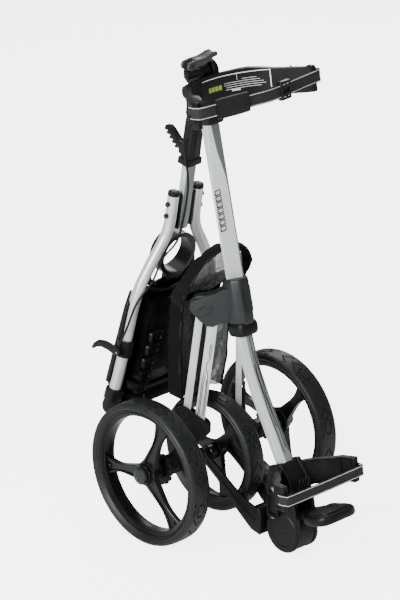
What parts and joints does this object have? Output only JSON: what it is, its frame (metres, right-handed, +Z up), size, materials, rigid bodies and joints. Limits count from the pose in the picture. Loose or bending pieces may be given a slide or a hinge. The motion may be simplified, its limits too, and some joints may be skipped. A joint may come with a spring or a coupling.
{
  "type": "golf push trolley",
  "caption": "Folding three-wheel golf push trolley, folded upright: leaning tube, padded bag cradles with straps, fold-out rear legs, swing-under front fork, folded handle with tray.",
  "frame": {"origin": "on the floor, at the centre of the bounding box seen from above", "axes": "+Z up; -Y is the side where the golf bag stands; X runs along the rear axles, with the brake lever on the -X side"},
  "size_m": [0.413, 0.5512, 0.9579],
  "materials": {
    "accessory_bag": "grey mesh",
    "bag_rest": "black moulded plastic",
    "bag_rest_pad": "soft black rubber",
    "brake_cable": "soft black rubber",
    "brake_clamp": "black moulded plastic",
    "brake_lever": "black moulded plastic",
    "brake_lever_pin": "zinc plated",
    "brake_ring_left": "black moulded plastic",
    "brake_ring_right": "black moulded plastic",
    "cam_lever": "grey moulded plastic",
    "cam_pin": "zinc plated",
    "console": "black moulded plastic",
    "cup_holder": "black moulded plastic",
    "fork": "black moulded plastic",
    "fork_hinge_pin": "zinc plated",
    "fork_lock_plunger": "zinc plated",
    "front_axle": "zinc plated",
    "front_rim": "black moulded plastic",
    "front_tyre": "dark tread rubber",
    "handle_bar": "satin grey",
    "handle_bolt_1": "zinc plated",
    "handle_bolt_2": "zinc plated",
    "handle_grip": "soft black rubber",
    "handle_hinge_pin": "zinc plated",
    "handle_joint": "black moulded plastic",
    "handle_tube_left": "satin silver lacquer",
    "handle_tube_right": "satin silver lacquer",
    "hub": "slate moulded plastic",
    "hub_cap_left": "black moulded plastic",
    "hub_cap_right": "black moulded plastic",
    "hub_collar": "black moulded plastic",
    "latch_lever": "black moulded plastic",
    "latch_pin": "zinc plated",
    "leg_inner_left": "satin silver lacquer",
    "leg_inner_right": "satin silver lacquer",
    "leg_outer_left": "satin silver lacquer",
    "leg_outer_right": "satin silver lacquer",
    "leg_pin_inner_left": "zinc plated",
    "leg_pin_inner_right": "zinc plated",
    "leg_pin_outer_left": "zinc plated",
    "leg_pin_outer_right": "zinc plated",
    "lower_bracket": "black moulded plastic",
    "lower_strap": "black webbing",
    "lower_tube": "satin silver lacquer",
    "rear_axle_left": "zinc plated",
    "rear_axle_right": "zinc plated",
    "rear_rim_left": "black moulded plastic",
    "rear_rim_right": "black moulded plastic",
    "rear_tyre_left": "dark tread rubber",
    "rear_tyre_right": "dark tread rubber",
    "strap_buckle": "black moulded plastic",
    "strap_sleeve": "black webbing",
    "upper_bracket": "black moulded plastic",
    "upper_strap": "black webbing",
    "upper_tube": "satin silver lacquer",
    "wheel_bearing_left": "zinc plated",
    "wheel_bearing_right": "zinc plated",
    "wheel_bracket_left": "black moulded plastic",
    "wheel_bracket_right": "black moulded plastic"
  },
  "bodies": {
    "frame": {"upper_tube": "upper_tube", "lower_tube": "lower_tube", "hub": "hub", "hub_collar": "hub_collar", "lower_bracket": "lower_bracket", "fork_hinge_pin": "fork_hinge_pin", "fork_lock_plunger": "fork_lock_plunger", "bag_rest": "bag_rest", "bag_rest_pad": "bag_rest_pad", "upper_bracket": "upper_bracket", "handle_hinge_pin": "handle_hinge_pin", "cam_pin": "cam_pin", "upper_strap": "upper_strap", "strap_sleeve": "strap_sleeve", "strap_buckle": "strap_buckle", "lower_strap": "lower_strap", "leg_pin_inner_left": "leg_pin_inner_left", "leg_pin_outer_left": "leg_pin_outer_left", "leg_pin_inner_right": "leg_pin_inner_right", "leg_pin_outer_right": "leg_pin_outer_right", "accessory_bag": "accessory_bag"},
    "cam_lever": {"cam_lever": "cam_lever"},
    "fork": {"fork": "fork", "front_axle": "front_axle"},
    "front_wheel": {"front_tyre": "front_tyre", "front_rim": "front_rim"},
    "handle": {"handle_joint": "handle_joint", "handle_bar": "handle_bar", "handle_tube_left": "handle_tube_left", "handle_tube_right": "handle_tube_right", "handle_bolt_1": "handle_bolt_1", "handle_bolt_2": "handle_bolt_2", "console": "console", "cup_holder": "cup_holder", "handle_grip": "handle_grip", "brake_clamp": "brake_clamp", "brake_lever_pin": "brake_lever_pin", "latch_pin": "latch_pin", "brake_cable": "brake_cable"},
    "brake_lever": {"brake_lever": "brake_lever"},
    "latch_lever": {"latch_lever": "latch_lever"},
    "leg_inner_left": {"leg_inner_left": "leg_inner_left"},
    "leg_outer_left": {"leg_outer_left": "leg_outer_left"},
    "wheel_bracket_left": {"wheel_bracket_left": "wheel_bracket_left", "rear_axle_left": "rear_axle_left"},
    "rear_wheel_left": {"rear_tyre_left": "rear_tyre_left", "rear_rim_left": "rear_rim_left", "hub_cap_left": "hub_cap_left", "wheel_bearing_left": "wheel_bearing_left", "brake_ring_left": "brake_ring_left"},
    "leg_inner_right": {"leg_inner_right": "leg_inner_right"},
    "leg_outer_right": {"leg_outer_right": "leg_outer_right"},
    "wheel_bracket_right": {"wheel_bracket_right": "wheel_bracket_right", "rear_axle_right": "rear_axle_right"},
    "rear_wheel_right": {"rear_tyre_right": "rear_tyre_right", "rear_rim_right": "rear_rim_right", "hub_cap_right": "hub_cap_right", "wheel_bearing_right": "wheel_bearing_right", "brake_ring_right": "brake_ring_right"}
  },
  "joints": [
    {"name": "front_fork_fold", "type": "hinge", "parent": "frame", "child": "fork", "pos_m": [0, -0.1388, 0.044], "axis": [1, 0, 0], "range_deg": [-170, 0]},
    {"name": "front_wheel_spin", "type": "hinge", "parent": "fork", "child": "front_wheel", "pos_m": [0, 0.0772, 0.137], "axis": [1, 0, 0], "continuous": true},
    {"name": "handle_fold", "type": "hinge", "parent": "frame", "child": "handle", "pos_m": [0, 0.1152, 0.915], "axis": [1, 0, 0], "range_deg": [0, 120]},
    {"name": "cam_lever_turn", "type": "hinge", "parent": "frame", "child": "cam_lever", "pos_m": [-0.047, 0.1032, 0.942], "axis": [0, -1, 0], "range_deg": [0, 75]},
    {"name": "latch_lever_turn", "type": "hinge", "parent": "handle", "child": "latch_lever", "pos_m": [-0.006, 0.16075, 0.76045], "axis": [1, 0, 0], "range_deg": [0, 20], "stiffness_Nm_per_rad": 0.3, "springref_deg": -11.46},
    {"name": "brake_lever_turn", "type": "hinge", "parent": "handle", "child": "brake_lever", "pos_m": [-0.1405, 0.2032, 0.34975], "axis": [1, 0, 0], "range_deg": [-20, 0], "stiffness_Nm_per_rad": 0.5, "springref_deg": 11.46},
    {"name": "leg_left_fold", "type": "hinge", "parent": "frame", "child": "leg_inner_left", "pos_m": [-0.03465, 0.04585, 0.438], "axis": [0.7071, 0.7071, 0], "range_deg": [0, 50]},
    {"name": "leg_outer_left_fold", "type": "hinge", "parent": "frame", "child": "leg_outer_left", "pos_m": [-0.05162, 0.06282, 0.464], "axis": [0.7071, 0.7071, 0], "range_deg": [0, 50]},
    {"name": "wheel_bracket_left_turn", "type": "hinge", "parent": "leg_inner_left", "child": "wheel_bracket_left", "pos_m": [-0.0543, 0.0655, 0.2117], "axis": [0.7071, 0.7071, 0], "range_deg": [-50, 0]},
    {"name": "rear_wheel_left_spin", "type": "hinge", "parent": "wheel_bracket_left", "child": "rear_wheel_left", "pos_m": [-0.174, 0.0772, 0.146], "axis": [1, 0, 0], "continuous": true},
    {"name": "leg_right_fold", "type": "hinge", "parent": "frame", "child": "leg_inner_right", "pos_m": [0.03465, 0.04585, 0.438], "axis": [0.7071, -0.7071, 0], "range_deg": [0, 50]},
    {"name": "leg_outer_right_fold", "type": "hinge", "parent": "frame", "child": "leg_outer_right", "pos_m": [0.05162, 0.06282, 0.464], "axis": [0.7071, -0.7071, 0], "range_deg": [0, 50]},
    {"name": "wheel_bracket_right_turn", "type": "hinge", "parent": "leg_inner_right", "child": "wheel_bracket_right", "pos_m": [0.0543, 0.0655, 0.2117], "axis": [0.7071, -0.7071, 0], "range_deg": [-50, 0]},
    {"name": "rear_wheel_right_spin", "type": "hinge", "parent": "wheel_bracket_right", "child": "rear_wheel_right", "pos_m": [0.174, 0.0772, 0.146], "axis": [1, 0, 0], "continuous": true}
  ],
  "couplings": [
    {"joint": "leg_right_fold", "follows": "leg_left_fold", "ratio": 1},
    {"joint": "leg_outer_left_fold", "follows": "leg_left_fold", "ratio": 1},
    {"joint": "wheel_bracket_left_turn", "follows": "leg_left_fold", "ratio": -1},
    {"joint": "leg_outer_right_fold", "follows": "leg_left_fold", "ratio": 1},
    {"joint": "wheel_bracket_right_turn", "follows": "leg_left_fold", "ratio": -1}
  ]
}
